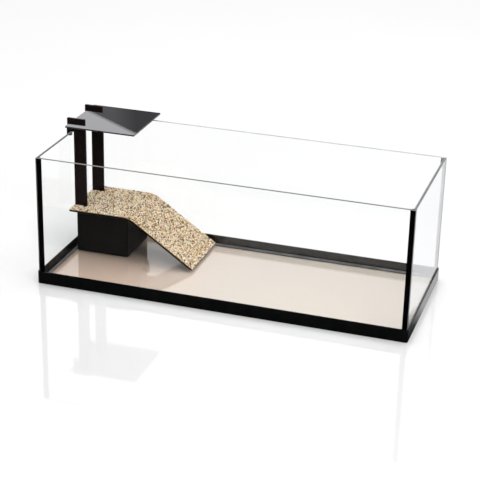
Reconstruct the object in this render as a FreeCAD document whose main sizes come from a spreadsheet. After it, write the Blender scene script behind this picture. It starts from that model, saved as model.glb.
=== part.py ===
"""Open-topped glass turtle tank: a framed glass box, a basking station hung on its left wall, a filter.

X runs along the tank's length, Y from front to back and Z up. The origin is the middle of the tank's
underside, so the tank stands on Z = 0. Lengths are in millimetres and angles in degrees.
"""

import FreeCAD, Part
import math
import os
import re
import Sketcher

DIMENSIONS = {
    # Glass box: outside length and width, height of the rim, and sheet thickness.
    "tank_length": 750,
    "tank_width": 298,
    "rim_height": 266,
    "glass": 5,
    # Moulded base frame: a wall round the foot of the glass and a flange under it.
    "frame_height": 26,
    "frame_wall": 2.4,
    "frame_corner": 4,
    "flange": 2,
    "flange_reach": 1.5,
    "mat_play": 0.3,
    # Silicone: film thickness between two panes, and the legs of the beads up the corners and on the floor.
    "film": 1,
    "bead": 6,
    "floor_bead": 3,
    "bead_sag": 1.8,
    # Hangers: flat hook plates that straddle the left wall and carry the deck and the shelf.
    "hanger_front": 19.5,
    "hanger_pitch": 90.5,
    "hanger_thickness": 4,
    "hook_reach": 8.6,
    "hook_drop": 9,
    "hook_play": 0.3,
    "strap_gap": 1.7,
    "strap_width": 26,
    "tab_shoulder": 1.2,
    "tab_top": 294.5,
    "tenon_width": 14,
    "tenon_inset": 5.7,
    "tenon_foot": 94.5,
    "key_width": 6,
    "key_height": 3,
    "key_length": 16,
    # Square shelf plate that drops over the hanger tabs.
    "shelf_size": 150,
    "shelf_thickness": 3,
    "shelf_underside": 278,
    "shelf_left": -380.4,
    "shelf_front": 4,
    "slot_play": 0.3,
    # Deck and ramp: one bent sheet with gravel bonded to its top.
    "deck_left": -369.5,
    "deck_front": -8,
    "deck_width": 146,
    "deck_top": 104.5,
    "sheet": 3,
    "gravel": 2,
    "gravel_margin": 1.5,
    "bend_apex": -238,
    "bend_radius": 45,
    "ramp_angle": 34,
    "tip_height": 9.2,
    # Filter housing, which stands on the floor under the deck.
    "filter_left": -362.5,
    "filter_front": 12,
    "filter_length": 113,
    "filter_width": 116,
    "filter_foot": 8.2,
    "filter_rim": 88,
    "filter_wall": 2.5,
    "filter_corner": 4,
    "lid_thickness": 3.5,
    "lid_lip": 5,
    "lid_play": 0.3,
    "scoop_length": 24,
    "scoop_width": 8,
    "scoop_inset": 6,
    "scoop_depth": 1.5,
    "foot_radius": 6,
    "foot_inset": 14,
    "slot_width": 3,
    "slot_height": 52,
    "slot_pitch": 6,
    "slot_count": 5,
    # Filter media, in the order the water meets them from the front of the housing.
    "media_play": 0.6,
    "coarse_depth": 32,
    "fine_depth": 20,
    "carbon_depth": 18,
    "media_height": 72,
    "divider_back": 90,
    "divider_thickness": 2,
    # Pump in the back chamber, built about an upright axis.
    "pump_x": -300,
    "pump_y": 108,
    "pump_top": 62,
    "pump_length": 46,
    "pump_width": 31,
    "well_radius": 9.2,
    "well_depth": 32,
    "rotor_radius": 8,
    "rotor_height": 27,
    "shaft_radius": 1.5,
    "shaft_play": 0.06,
    "bush_radius": 3,
    "bush_height": 3,
    "volute_radius": 15,
    "volute_height": 15,
    "volute_wall": 2,
    "chamber_height": 11.5,
    "hub_radius": 5,
    "blade_reach": 11.5,
    "blade_thickness": 1.4,
    "blade_height": 8,
    "blade_count": 6,
    "inlet_count": 4,
    "inlet_radius": 2.4,
    "inlet_circle": 8.5,
    "rotor_gap": 0.5,
    "dial_thickness": 2,
    "dial_gap": 0.1,
    "pointer_width": 4,
    "spigot_radius": 5.5,
    "spigot_bore": 4,
    "spigot_offset": -7,
    "spigot_height": 6,
    "spigot_gap": 1,
    # Swivelling outlet in the right wall, and the cable entry in the back wall.
    "collar_radius": 6.7,
    "collar_depth": 7.5,
    "nozzle_play": 0.08,
    "nozzle_flange": 9,
    "nozzle_plate": 2,
    "nozzle_gap": 0.3,
    "nozzle_reach": 14,
    "spout_reach": 8,
    "spout_drop": 19,
    "gland_x": -338,
    "gland_height": 74,
    "gland_radius": 6,
    "gland_neck": 4.5,
    "gland_bore": 3.2,
}

OVERSHOOT = 1
NORMAL_TOWARDS_POSITIVE = {"XY_Plane": True, "XZ_Plane": False, "YZ_Plane": True}

doc = FreeCAD.newDocument("turtle_tank")
sheet = doc.addObject("Spreadsheet::Sheet", "dims")
for row, (alias, number) in enumerate(DIMENSIONS.items(), start=1):
    sheet.set(f"A{row}", alias)
    sheet.set(f"B{row}", str(number))
    sheet.setAlias(f"B{row}", alias)
doc.recompute()


def bound(text):
    """Turn a formula in plain dimension names into one that reads the sheet."""
    return re.sub(r"[a-z][a-z_]*", lambda name: "dims." + name.group(0), str(text))


def place(piece, x=None, y=None, z=None):
    """Bind the position of an object's own origin to the sheet."""
    for axis, formula in (("x", x), ("y", y), ("z", z)):
        if formula is not None:
            piece.setExpression("Placement.Base." + axis, bound(formula))


def block(name, length, width, height, x, y, z):
    """A rectangular solid, given by its size and its lowest corner."""
    box = doc.addObject("Part::Box", name)
    for side, formula in (("Length", length), ("Width", width), ("Height", height)):
        box.setExpression(side, bound(formula))
    place(box, x, y, z)
    return box


def rod(name, radius, height, x, y, z):
    """An upright cylinder, given by the centre of its lower end."""
    cylinder = doc.addObject("Part::Cylinder", name)
    cylinder.setExpression("Radius", bound(radius))
    cylinder.setExpression("Height", bound(height))
    place(cylinder, x, y, z)
    return cylinder


def cut(name, base, tool):
    """The first object with the second taken out of it."""
    result = doc.addObject("Part::Cut", name)
    result.Base = base
    result.Tool = tool
    return result


def origin_feature(body, role):
    """One of the body's own origin planes or axes."""
    return next(feature for feature in body.Origin.OriginFeatures if feature.Role == role)


def new_sketch(body, name, role, offset):
    """An empty sketch on an origin plane, moved along that plane's world axis by offset."""
    sketch = body.newObject("Sketcher::SketchObject", name)
    sketch.AttachmentSupport = [(origin_feature(body, role), "")]
    sketch.MapMode = "FlatFace"
    sign = "" if NORMAL_TOWARDS_POSITIVE[role] else "-"
    sketch.setExpression("AttachmentOffset.Base.z", f"{sign}({bound(offset)})")
    return sketch


def fix_point(sketch, tag, geometry, vertex, across, up):
    """Dimension one sketch point from the sketch origin."""
    for kind, formula in (("DistanceX", across), ("DistanceY", up)):
        index = sketch.addConstraint(Sketcher.Constraint(kind, -1, 1, geometry, vertex, 1.0))
        sketch.renameConstraint(index, tag + kind[-1])
        sketch.setExpression(f"Constraints.{tag}{kind[-1]}", bound(formula))


def polygon(body, name, role, corners, offset=0):
    """A closed straight-sided outline whose corners are bound to the sheet."""
    sketch = new_sketch(body, name, role, offset)
    count = len(corners)
    spots = [FreeCAD.Vector(math.cos(turn), math.sin(turn), 0)
             for turn in (2 * math.pi * i / count for i in range(count))]
    for i in range(count):
        sketch.addGeometry(Part.LineSegment(spots[i], spots[(i + 1) % count]))
    for i in range(count):
        sketch.addConstraint(Sketcher.Constraint("Coincident", i, 2, (i + 1) % count, 1))
    for i, (across, up) in enumerate(corners):
        fix_point(sketch, f"corner{i}", i, 1, across, up)
    return sketch


def rectangle(body, name, role, low_across, high_across, low_up, high_up, offset=0):
    """A rectangular outline between two limits each way."""
    corners = [(low_across, low_up), (high_across, low_up),
               (high_across, high_up), (low_across, high_up)]
    return polygon(body, name, role, corners, offset)


def disc(body, name, role, across, up, radius, offset=0):
    """A round outline."""
    sketch = new_sketch(body, name, role, offset)
    sketch.addGeometry(Part.Circle(FreeCAD.Vector(0, 0, 0), FreeCAD.Vector(0, 0, 1), 1))
    fix_point(sketch, "centre", 0, 3, across, up)
    index = sketch.addConstraint(Sketcher.Constraint("Radius", 0, 1.0))
    sketch.renameConstraint(index, "radius")
    sketch.setExpression("Constraints.radius", bound(radius))
    return sketch


def grow(body, sketch, role, length):
    """Pad a sketch towards the positive side of its plane."""
    pad = body.newObject("PartDesign::Pad", sketch.Name + "_pad")
    pad.Profile = sketch
    pad.Reversed = not NORMAL_TOWARDS_POSITIVE[role]
    pad.setExpression("Length", bound(length))
    doc.recompute()
    return pad


def carve(body, sketch, role, depth):
    """Pocket a sketch towards the positive side of its plane, and insist that it removes something."""
    before = body.Shape.Volume
    pocket = body.newObject("PartDesign::Pocket", sketch.Name + "_pocket")
    pocket.Profile = sketch
    pocket.Reversed = NORMAL_TOWARDS_POSITIVE[role]
    pocket.setExpression("Length", bound(depth))
    doc.recompute()
    if body.Shape.Volume > before - 1:
        raise RuntimeError(f"{sketch.Name} cuts nothing")
    return pocket


def round_edges(body, radius, wanted):
    """Round the edges of the body's tip that a test picks out."""
    tip = body.Tip
    names = [f"Edge{i}" for i, edge in enumerate(tip.Shape.Edges, start=1) if wanted(edge)]
    fillet = body.newObject("PartDesign::Fillet", body.Name + "_round")
    fillet.Base = (tip, names)
    fillet.setExpression("Radius", bound(radius))
    doc.recompute()
    return fillet


def repeat_round(body, feature, count):
    """Repeat a feature evenly round the body's own Z axis."""
    pattern = body.newObject("PartDesign::PolarPattern", feature.Name + "_ring")
    pattern.Originals = [feature]
    pattern.Axis = (origin_feature(body, "Z_Axis"), [""])
    pattern.Angle = 360
    pattern.setExpression("Occurrences", bound(count))
    body.Tip = pattern
    doc.recompute()
    return pattern


def repeat_along(body, feature, role, pitch, count):
    """Repeat a feature in a row along one of the body's own axes."""
    pattern = body.newObject("PartDesign::LinearPattern", feature.Name + "_row")
    pattern.Originals = [feature]
    pattern.Direction = (origin_feature(body, role), [""])
    pattern.setExpression("Length", bound(f"{pitch} * ({count} - 1)"))
    pattern.setExpression("Occurrences", bound(count))
    body.Tip = pattern
    doc.recompute()
    return pattern


def is_upright(edge):
    """True for an edge parallel to Z."""
    box = edge.BoundBox
    return box.XLength < 0.01 and box.YLength < 0.01 and box.ZLength > 1


def runs_across(edge):
    """True for an edge parallel to Y."""
    box = edge.BoundBox
    return box.XLength < 0.01 and box.ZLength < 0.01 and box.YLength > 1


def shaped(name, shape):
    """A sub-part whose shape is built straight from the sheet's values."""
    piece = doc.addObject("Part::Feature", name)
    piece.Shape = shape
    return piece


# ---------------------------------------------------------------- the glass box


def make_base_frame():
    """Moulded frame: a rim of wall outside the glass and a flange that the panes stand on."""
    body = doc.addObject("PartDesign::Body", "base_frame")
    outer_x = "tank_length / 2 + frame_wall"
    outer_y = "tank_width / 2 + frame_wall"
    opening_x = "tank_length / 2 - glass - flange_reach"
    opening_y = "tank_width / 2 - glass - flange_reach"
    outline = rectangle(body, "frame_outline", "XY_Plane",
                        f"-({outer_x})", outer_x, f"-({outer_y})", outer_y)
    grow(body, outline, "XY_Plane", "frame_height")
    round_edges(body, "frame_corner", is_upright)
    rebate = rectangle(body, "glass_rebate", "XY_Plane",
                       "-tank_length / 2", "tank_length / 2", "-tank_width / 2", "tank_width / 2", "flange")
    carve(body, rebate, "XY_Plane", "frame_height")
    window = rectangle(body, "underside_window", "XY_Plane",
                       f"-({opening_x})", opening_x, f"-({opening_y})", opening_y)
    carve(body, window, "XY_Plane", "frame_height")
    return body


def make_base_mat():
    """Foam mat that fills the frame's window, flush with the flange's underside."""
    inset = "2 * (glass + flange_reach + mat_play)"
    return block("base_mat", f"tank_length - {inset}", f"tank_width - {inset}", "flange",
                 "-(tank_length / 2 - glass - flange_reach - mat_play)",
                 "-(tank_width / 2 - glass - flange_reach - mat_play)", 0)


def make_panes():
    """Floor, front and back panes across the full length, and side panes between them."""
    inner_x = "tank_length / 2 - glass"
    inner_y = "tank_width / 2 - glass"
    wall = "rim_height - flange"
    side_length = f"2 * ({inner_y} - film)"
    return [
        block("bottom_pane", f"2 * ({inner_x} - film)", side_length, "glass",
              f"-({inner_x} - film)", f"-({inner_y} - film)", "flange"),
        block("front_pane", "tank_length", "glass", wall, "-tank_length / 2", "-tank_width / 2", "flange"),
        block("back_pane", "tank_length", "glass", wall, "-tank_length / 2", inner_y, "flange"),
        block("left_pane", "glass", side_length, wall, "-tank_length / 2", f"-({inner_y} - film)", "flange"),
        block("right_pane", "glass", side_length, wall, inner_x, f"-({inner_y} - film)", "flange"),
    ]


def make_bottom_seam():
    """Silicone round the floor pane: a film at its edge and a sloping bead on top."""
    inner_x = sheet.tank_length / 2 - sheet.glass
    inner_y = sheet.tank_width / 2 - sheet.glass
    floor = sheet.flange + sheet.glass

    def slab(inset, thickness):
        """A slab that stands on the flange, its edge drawn in from the walls by inset."""
        x, y = inner_x - inset, inner_y - inset
        return Part.makeBox(2 * x, 2 * y, thickness, FreeCAD.Vector(-x, -y, sheet.flange))

    x, y = inner_x - sheet.floor_bead, inner_y - sheet.floor_bead
    hollow = Part.makeWedge(-x, 0, -y, -inner_y, -inner_x, x, sheet.floor_bead, y, inner_y, inner_x)
    hollow.rotate(FreeCAD.Vector(0, 0, 0), FreeCAD.Vector(1, 0, 0), 90)
    hollow.translate(FreeCAD.Vector(0, 0, floor))
    around = slab(0, sheet.glass + sheet.floor_bead)
    return shaped("bottom_seam", around.cut(slab(sheet.film, sheet.glass)).cut(hollow))


def make_corner_seam(name, side, end, bottom_seam):
    """Upright silicone in one corner: a film at the side pane's edge and a hollow bead inside.

    side is -1 at the left wall and 1 at the right, end is -1 at the front and 1 at the back.
    """
    outer_x = sheet.tank_length / 2
    inner_x = outer_x - sheet.glass
    inner_y = sheet.tank_width / 2 - sheet.glass

    def spot(x, y):
        """A point of the section, mirrored into this corner."""
        return FreeCAD.Vector(side * x, end * y, sheet.flange)

    start = spot(inner_x - sheet.bead, inner_y)
    middle = spot(inner_x - sheet.bead_sag, inner_y - sheet.bead_sag)
    finish = spot(inner_x, inner_y - sheet.bead)
    straight = Part.makePolygon([finish, spot(inner_x, inner_y - sheet.film),
                                 spot(outer_x, inner_y - sheet.film), spot(outer_x, inner_y), start])
    section = Part.Wire(Part.Wire([Part.Arc(start, middle, finish).toShape()]).Edges + straight.Edges)
    height = FreeCAD.Vector(0, 0, sheet.rim_height - sheet.flange)
    column = Part.Face(section).extrude(height)
    floor_level = Part.makeBox(2 * inner_x, 2 * inner_y, sheet.flange + sheet.glass,
                               FreeCAD.Vector(-inner_x, -inner_y, 0))
    return shaped(name, column.cut(floor_level).cut(bottom_seam.Shape))


# ---------------------------------------------------------------- the basking station


def make_hanger(name, front):
    """Hook plate: a tab above, a notch over the glass, a long strap and a tenon for the deck."""
    body = doc.addObject("PartDesign::Body", name)
    wall = "-tank_length / 2"
    strap_left = f"{wall} + glass + strap_gap"
    strap_right = f"{strap_left} + strap_width"
    tongue_left = f"{wall} - hook_reach"
    tenon_left = f"{strap_left} + tenon_inset"
    outline = polygon(body, name + "_outline", "XZ_Plane", [
        (tongue_left, "rim_height - hook_drop"),
        (f"{wall} - hook_play", "rim_height - hook_drop"),
        (f"{wall} - hook_play", "rim_height"),
        (strap_left, "rim_height"),
        (strap_left, "deck_top"),
        (tenon_left, "deck_top"),
        (tenon_left, "tenon_foot"),
        (f"{tenon_left} + tenon_width", "tenon_foot"),
        (f"{tenon_left} + tenon_width", "deck_top"),
        (strap_right, "deck_top"),
        (strap_right, "shelf_underside"),
        (f"{strap_right} - tab_shoulder", "shelf_underside"),
        (f"{strap_right} - tab_shoulder", "tab_top"),
        (f"{tongue_left} + tab_shoulder", "tab_top"),
        (f"{tongue_left} + tab_shoulder", "shelf_underside"),
        (tongue_left, "shelf_underside"),
    ], front)
    grow(body, outline, "XZ_Plane", "hanger_thickness")
    key_left = f"{tenon_left} + tenon_width / 2 - key_width / 2"
    key_hole = rectangle(body, name + "_key_hole", "XZ_Plane",
                         key_left, f"{key_left} + key_width",
                         "deck_top - sheet - key_height", "deck_top - sheet", front)
    carve(body, key_hole, "XZ_Plane", "hanger_thickness")
    ends = (sheet.tab_top, sheet.rim_height - sheet.hook_drop)
    round_edges(body, "tab_shoulder", lambda edge: runs_across(edge)
                and min(abs(edge.BoundBox.ZMin - end) for end in ends) < 0.01)
    return body


def make_lock_key(name, front):
    """Key pushed through the tenon under the deck, which holds the deck up to the strap."""
    key_left = "-tank_length / 2 + glass + strap_gap + tenon_inset + tenon_width / 2 - key_width / 2"
    key_front = f"{front} + hanger_thickness / 2 - key_length / 2"
    return block(name, "key_width", "key_length", "key_height",
                 key_left, key_front, "deck_top - sheet - key_height")


def bent_layer(low, high):
    """A layer of the bent deck between two heights measured square to its top surface."""
    slope = math.radians(sheet.ramp_angle)
    square = (math.sin(slope), math.cos(slope))
    reach = sheet.bend_radius * math.tan(slope / 2)
    bend_start = sheet.bend_apex - reach
    centre_z = sheet.deck_top - sheet.bend_radius
    run = (sheet.deck_top - sheet.tip_height - sheet.sheet * square[1]) / math.tan(slope)
    tip_x = sheet.bend_apex + run
    tip_z = sheet.deck_top - run * math.tan(slope)

    def on_bend(turn, height):
        """A point on the bend, turn radians past its start and height above the sheet's top."""
        radius = sheet.bend_radius + height
        return FreeCAD.Vector(bend_start + radius * math.sin(turn), sheet.deck_front,
                              centre_z + radius * math.cos(turn))

    def edge_line(height):
        """The deck's line at one height: level, round the bend, then down the ramp."""
        level = FreeCAD.Vector(sheet.deck_left, sheet.deck_front, sheet.deck_top + height)
        foot = FreeCAD.Vector(tip_x + height * square[0], sheet.deck_front, tip_z + height * square[1])
        bend = Part.Arc(on_bend(0, height), on_bend(slope / 2, height), on_bend(slope, height))
        return level, foot, [Part.makeLine(level, on_bend(0, height)), bend.toShape(),
                             Part.makeLine(on_bend(slope, height), foot)]

    low_start, low_end, low_edges = edge_line(low)
    high_start, high_end, high_edges = edge_line(high)
    ends = [Part.makeLine(low_start, high_start), Part.makeLine(low_end, high_end)]
    section = Part.Wire(Part.__sortEdges__(low_edges + high_edges + ends))
    return Part.Face(section).extrude(FreeCAD.Vector(0, sheet.deck_width, 0))


def hanger_fronts():
    """The front faces of the two hangers, in plain numbers."""
    return [sheet.hanger_front, sheet.hanger_front + sheet.hanger_pitch]


def make_deck():
    """Bent sheet with a slot for each strap's tenon."""
    deck = bent_layer(-sheet.sheet, 0)
    strap_left = -sheet.tank_length / 2 + sheet.glass + sheet.strap_gap
    for front in hanger_fronts():
        slot = Part.makeBox(sheet.tenon_width + 2 * sheet.slot_play,
                            sheet.hanger_thickness + 2 * sheet.slot_play, 4 * sheet.sheet,
                            FreeCAD.Vector(strap_left + sheet.tenon_inset - sheet.slot_play,
                                           front - sheet.slot_play, sheet.deck_top - 2 * sheet.sheet))
        deck = deck.cut(slot)
    return shaped("deck_and_ramp", deck)


def make_gravel_coat():
    """Layer of bonded gravel, left open round the foot of each strap."""
    coat = bent_layer(0, sheet.gravel)
    strap_left = -sheet.tank_length / 2 + sheet.glass + sheet.strap_gap
    margin = sheet.gravel_margin
    for front in hanger_fronts():
        gap = Part.makeBox(sheet.strap_width + 2 * margin, sheet.hanger_thickness + 2 * margin,
                           4 * sheet.gravel,
                           FreeCAD.Vector(strap_left - margin, front - margin, sheet.deck_top - sheet.gravel))
        coat = coat.cut(gap)
    return shaped("gravel_coat", coat)


def make_shelf():
    """Square plate with a slot over each hanger tab."""
    body = doc.addObject("PartDesign::Body", "shelf_plate")
    outline = rectangle(body, "shelf_outline", "XY_Plane", "shelf_left", "shelf_left + shelf_size",
                        "shelf_front", "shelf_front + shelf_size", "shelf_underside")
    grow(body, outline, "XY_Plane", "shelf_thickness")
    round_edges(body, "tab_shoulder", is_upright)
    tab_left = "-tank_length / 2 - hook_reach + tab_shoulder"
    tab_right = "-tank_length / 2 + glass + strap_gap + strap_width - tab_shoulder"
    for number, front in enumerate(("hanger_front", "hanger_front + hanger_pitch")):
        slot = rectangle(body, f"tab_slot_{number}", "XY_Plane",
                         f"{tab_left} - slot_play", f"{tab_right} + slot_play", f"{front} - slot_play",
                         f"{front} + hanger_thickness + slot_play", "shelf_underside")
        carve(body, slot, "XY_Plane", "shelf_thickness")
    return body


# ---------------------------------------------------------------- the filter


def make_housing():
    """Open box with intake slots on the left, an outlet hole on the right and a cable hole behind."""
    body = doc.addObject("PartDesign::Body", "filter_housing")
    right, back = "filter_left + filter_length", "filter_front + filter_width"
    outline = rectangle(body, "housing_outline", "XY_Plane",
                        "filter_left", right, "filter_front", back, "filter_foot")
    grow(body, outline, "XY_Plane", "filter_rim - filter_foot")
    round_edges(body, "filter_corner", is_upright)
    inside = rectangle(body, "housing_inside", "XY_Plane",
                       "filter_left + filter_wall", f"{right} - filter_wall",
                       "filter_front + filter_wall", f"{back} - filter_wall", "filter_foot + filter_wall")
    carve(body, inside, "XY_Plane", "filter_rim")
    first = "filter_front + filter_wall + slot_pitch"
    slot = rectangle(body, "intake_slot", "YZ_Plane", first, f"{first} + slot_width",
                     "filter_foot + 2 * slot_pitch", "filter_foot + 2 * slot_pitch + slot_height",
                     f"filter_left - {OVERSHOOT}")
    intake = carve(body, slot, "YZ_Plane", f"filter_wall + 2 * {OVERSHOOT}")
    repeat_along(body, intake, "Y_Axis", "slot_pitch", "slot_count")
    outlet = disc(body, "outlet_hole", "YZ_Plane", "pump_y + spigot_offset", "pump_top + spigot_height",
                  "collar_radius + nozzle_play", f"{right} - filter_wall - {OVERSHOOT}")
    carve(body, outlet, "YZ_Plane", f"filter_wall + 2 * {OVERSHOOT}")
    cable = disc(body, "cable_hole", "XZ_Plane", "gland_x", "gland_height", "gland_neck",
                 f"{back} - filter_wall - {OVERSHOOT}")
    carve(body, cable, "XZ_Plane", f"filter_wall + 2 * {OVERSHOOT}")
    return body


def make_lid():
    """Flat cover with a lip that locates inside the housing's rim and a finger scoop on top."""
    body = doc.addObject("PartDesign::Body", "filter_lid")
    right, back = "filter_left + filter_length", "filter_front + filter_width"
    cover = rectangle(body, "lid_outline", "XY_Plane",
                      "filter_left", right, "filter_front", back, "filter_rim")
    grow(body, cover, "XY_Plane", "lid_thickness")
    round_edges(body, "filter_corner", is_upright)
    edge = "(filter_wall + lid_play)"
    lip = rectangle(body, "lip_outline", "XY_Plane",
                    f"filter_left + {edge}", f"{right} - {edge}",
                    f"filter_front + {edge}", f"{back} - {edge}", "filter_rim - lid_lip")
    grow(body, lip, "XY_Plane", "lid_lip")
    inner = "(2 * filter_wall + lid_play)"
    hollow = rectangle(body, "lid_hollow", "XY_Plane",
                       f"filter_left + {inner}", f"{right} - {inner}",
                       f"filter_front + {inner}", f"{back} - {inner}", "filter_rim - lid_lip")
    carve(body, hollow, "XY_Plane", "lid_lip")
    middle = "filter_left + filter_length / 2"
    scoop = rectangle(body, "finger_scoop", "XY_Plane",
                      f"{middle} - scoop_length / 2", f"{middle} + scoop_length / 2",
                      "filter_front + scoop_inset", "filter_front + scoop_inset + scoop_width",
                      "filter_rim + lid_thickness - scoop_depth")
    carve(body, scoop, "XY_Plane", "lid_thickness")
    return body


def make_feet():
    """Four rubber pads under the housing's corners, in one group."""
    pads = []
    for along in ("filter_left + foot_inset", "filter_left + filter_length - foot_inset"):
        for depth in ("filter_front + foot_inset", "filter_front + filter_width - foot_inset"):
            pads.append(rod(f"foot_{len(pads)}", "foot_radius", "filter_foot - flange - glass",
                            along, depth, "flange + glass"))
    group = doc.addObject("Part::Compound", "filter_feet")
    group.Links = pads
    return group


def make_media():
    """Coarse sponge, fine sponge and carbon pad, standing one behind the other."""
    pads = []
    start = "filter_front + filter_wall + media_play"
    for name in ("coarse", "fine", "carbon"):
        label = "carbon_pad" if name == "carbon" else name + "_sponge"
        pads.append(block(label, "filter_length - 2 * (filter_wall + media_play)", f"{name}_depth",
                          "media_height", "filter_left + filter_wall + media_play", start,
                          "filter_foot + filter_wall"))
        start = f"{start} + {name}_depth + media_play / 2"
    return pads


def make_divider():
    """Upright wall between the media and the pump, with a row of water slots."""
    body = doc.addObject("PartDesign::Body", "chamber_divider")
    side = "(filter_wall + lid_play)"
    role = "XZ_Plane"
    panel = rectangle(body, "divider_outline", role,
                      f"filter_left + {side}", f"filter_left + filter_length - {side}",
                      "filter_foot + filter_wall", "filter_rim - lid_lip - lid_play", "divider_back")
    grow(body, panel, role, "divider_thickness")
    first = "filter_left + filter_length / 2 - 4 * slot_pitch"
    slot = rectangle(body, "divider_slot", role, first, f"{first} + slot_width",
                     "filter_foot + 2 * slot_pitch", "filter_foot + slot_height", "divider_back")
    opening = carve(body, slot, role, "divider_thickness")
    repeat_along(body, opening, "X_Axis", "2 * slot_pitch", "slot_count")
    return body


def make_pump_body():
    """Potted motor block with a round well for the rotor."""
    floor = "filter_foot + filter_wall"
    motor = block("motor_block", "pump_length", "pump_width", f"pump_top - ({floor})",
                  "pump_x - pump_length / 2", "pump_y - pump_width / 2", floor)
    well = rod("rotor_well", "well_radius", "well_depth", "pump_x", "pump_y", "pump_top - well_depth")
    return cut("pump_body", motor, well)


def make_volute():
    """Round pump chamber with inlet holes above, a bush seat in the middle and a side spigot."""
    body = doc.addObject("PartDesign::Body", "pump_volute")
    drum = disc(body, "volute_outline", "XY_Plane", 0, 0, "volute_radius")
    grow(body, drum, "XY_Plane", "volute_height")
    spigot_end = "filter_left + filter_length - filter_wall - spigot_gap - pump_x"
    spigot = disc(body, "spigot_outline", "YZ_Plane", "spigot_offset", "spigot_height",
                  "spigot_radius", "hub_radius")
    grow(body, spigot, "YZ_Plane", f"{spigot_end} - hub_radius")
    chamber = disc(body, "volute_chamber", "XY_Plane", 0, 0, "volute_radius - volute_wall")
    carve(body, chamber, "XY_Plane", "chamber_height")
    bore = disc(body, "bore_outline", "YZ_Plane", "spigot_offset", "spigot_height",
                "spigot_bore", "hub_radius")
    carve(body, bore, "YZ_Plane", spigot_end)
    seat = disc(body, "bush_seat", "XY_Plane", 0, 0, "bush_radius", "chamber_height")
    carve(body, seat, "XY_Plane", "bush_height")
    inlet = disc(body, "inlet_hole", "XY_Plane", "inlet_circle", 0, "inlet_radius", "chamber_height")
    hole = carve(body, inlet, "XY_Plane", "volute_height")
    repeat_round(body, hole, "inlet_count")
    place(body, "pump_x", "pump_y", "pump_top")
    return body


def make_dial():
    """Flow regulator: a disc on the volute whose holes line up with the inlet when fully open."""
    body = doc.addObject("PartDesign::Body", "flow_regulator")
    plate = disc(body, "dial_outline", "XY_Plane", 0, 0, "volute_radius")
    grow(body, plate, "XY_Plane", "dial_thickness")
    opening = disc(body, "dial_hole", "XY_Plane", "inlet_circle", 0, "inlet_radius")
    hole = carve(body, opening, "XY_Plane", "dial_thickness")
    repeat_round(body, hole, "inlet_count")
    pointer = rectangle(body, "dial_pointer", "XY_Plane", "-pointer_width / 2", "pointer_width / 2",
                        "volute_radius - pointer_width", "volute_radius - dial_thickness", "dial_thickness")
    grow(body, pointer, "XY_Plane", "dial_thickness")
    place(body, "pump_x", "pump_y", "pump_top + volute_height + dial_gap")
    return body


def make_impeller():
    """Hub with straight blades, bored to run on the shaft."""
    body = doc.addObject("PartDesign::Body", "impeller")
    hub = disc(body, "hub_outline", "XY_Plane", 0, 0, "hub_radius")
    grow(body, hub, "XY_Plane", "blade_height")
    vane = rectangle(body, "blade_outline", "XY_Plane", "hub_radius - 1", "blade_reach",
                     "-blade_thickness / 2", "blade_thickness / 2")
    blade = grow(body, vane, "XY_Plane", "blade_height")
    repeat_round(body, blade, "blade_count")
    bore = disc(body, "impeller_bore", "XY_Plane", 0, 0, "shaft_radius + shaft_play")
    carve(body, bore, "XY_Plane", "blade_height")
    place(body, "pump_x", "pump_y", "pump_top + rotor_gap")
    return body


def make_rotor():
    """Cylindrical magnet under the impeller, bored to run on the shaft."""
    base = "pump_top + rotor_gap - rotor_height"
    magnet = rod("rotor_drum", "rotor_radius", "rotor_height", "pump_x", "pump_y", base)
    bore = rod("rotor_bore", "shaft_radius + shaft_play", "rotor_height", "pump_x", "pump_y", base)
    return cut("rotor_magnet", magnet, bore)


def make_shaft():
    """Ceramic shaft that stands in the two rubber bushes."""
    foot = "pump_top - well_depth + rotor_gap"
    head = "pump_top + chamber_height + bush_height - rotor_gap"
    return rod("pump_shaft", "shaft_radius", f"{head} - ({foot})", "pump_x", "pump_y", foot)


def make_bush(name, base, shaft):
    """Rubber bush gripping one end of the shaft."""
    plug = rod(name + "_plug", "bush_radius", "bush_height", "pump_x", "pump_y", base)
    return cut(name, plug, shaft)


def make_gland():
    """Flanged rubber grommet for the pump's cable."""
    back = "filter_front + filter_width"
    body = doc.addObject("PartDesign::Body", "cable_gland")
    role = "XZ_Plane"
    neck = disc(body, "neck_outline", role, "gland_x", "gland_height", "gland_neck",
                f"{back} - filter_wall")
    grow(body, neck, role, "filter_wall")
    rim = disc(body, "rim_outline", role, "gland_x", "gland_height", "gland_radius", back)
    grow(body, rim, role, "filter_wall")
    bore = disc(body, "gland_hole", role, "gland_x", "gland_height", "gland_bore", f"{back} - filter_wall")
    carve(body, bore, role, "2 * filter_wall")
    return body


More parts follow.
